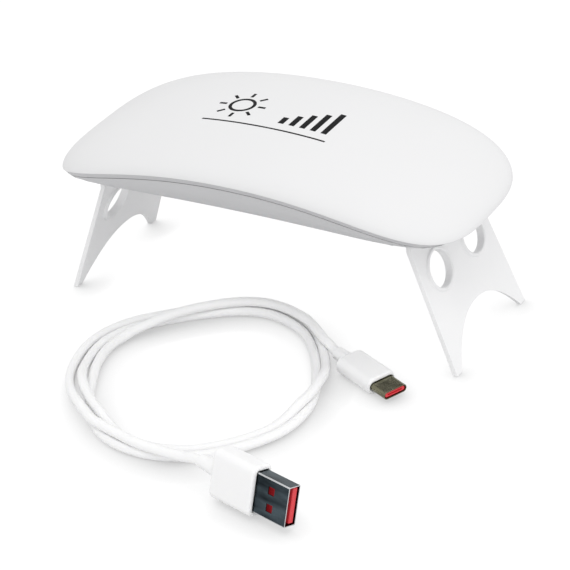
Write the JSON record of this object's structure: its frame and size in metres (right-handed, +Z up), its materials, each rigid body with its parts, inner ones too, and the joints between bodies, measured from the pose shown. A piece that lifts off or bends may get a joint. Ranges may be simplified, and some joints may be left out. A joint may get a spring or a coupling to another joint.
{
  "type": "uv led nail lamp",
  "caption": "Folding UV nail lamp: crowned oblong shell on two swing-out fork legs, button and USB inlet at the back, coiled white USB cable.",
  "frame": {"origin": "on the floor under the middle of the lamp, legs open", "axes": "+X along the lamp's long side, +Y to the side with the inlet and the button, +Z up"},
  "size_m": [0.142, 0.1477, 0.0648],
  "materials": {
    "white_shell": "satin gloss white",
    "base_plastic": "fine matte white",
    "leg_plastic": "satin white",
    "button_plastic": "satin",
    "steel": "plated steel",
    "plug_steel": "bright nickel plate",
    "plug_dark_steel": "dark plated steel",
    "board_white": "white solder mask",
    "led_package": "yellowish resin",
    "lens_clear": "clear moulded plastic",
    "black_epoxy": "matte black",
    "capacitor_can": "drawn can",
    "plug_plastic": "satin white",
    "cord_jacket": "smooth white jacket",
    "red_plastic": "satin red"
  },
  "bodies": {
    "body": {"base_shell": "base_plastic", "board_screw_1": "steel", "board_screw_2": "steel", "capacitor": "capacitor_can", "circuit_board": "board_white", "cord_coil": "cord_jacket", "cover_screw_1": "steel", "cover_screw_2": "steel", "cover_screw_3": "steel", "cover_screw_4": "steel", "driver_transistor": "black_epoxy", "led_1": "led_package", "led_2": "led_package", "led_3": "led_package", "led_4": "led_package", "led_5": "led_package", "led_6": "led_package", "led_lens_1": "lens_clear", "led_lens_2": "lens_clear", "led_lens_3": "lens_clear", "led_lens_4": "lens_clear", "led_lens_5": "lens_clear", "led_lens_6": "lens_clear", "left_hinge_pin": "steel", "resistor_1": "black_epoxy", "resistor_2": "black_epoxy", "right_hinge_pin": "steel", "switch_body": "black_epoxy", "timer_chip": "black_epoxy", "top_cover": "white_shell", "usb_a_cord": "cord_jacket", "usb_a_housing": "plug_plastic", "usb_a_shell": "plug_steel", "usb_a_strain_relief": "plug_plastic", "usb_a_tongue": "red_plastic", "usb_c_cord": "cord_jacket", "usb_c_housing": "plug_plastic", "usb_c_shell": "plug_dark_steel", "usb_c_strain_relief": "plug_plastic", "usb_c_tongue": "red_plastic", "usb_port_shell": "steel", "usb_port_tongue": "black_epoxy"},
    "left_leg": {"left_leg": "leg_plastic"},
    "right_leg": {"right_leg": "leg_plastic"},
    "power_button": {"power_button": "button_plastic"}
  },
  "joints": [
    {"name": "left_leg_hinge", "type": "hinge", "parent": "body", "child": "left_leg", "pos_m": [-0.0516, 0, 0.0454], "axis": [0, -1, 0], "range_deg": [0, 111.1]},
    {"name": "right_leg_hinge", "type": "hinge", "parent": "body", "child": "right_leg", "pos_m": [0.0516, 0, 0.0454], "axis": [0, 1, 0], "range_deg": [0, 111.1]},
    {"name": "power_button_press", "type": "slide", "parent": "body", "child": "power_button", "axis": [0, -1, 0], "range_m": [0, 0.0005], "stiffness_N_per_m": 2000}
  ]
}
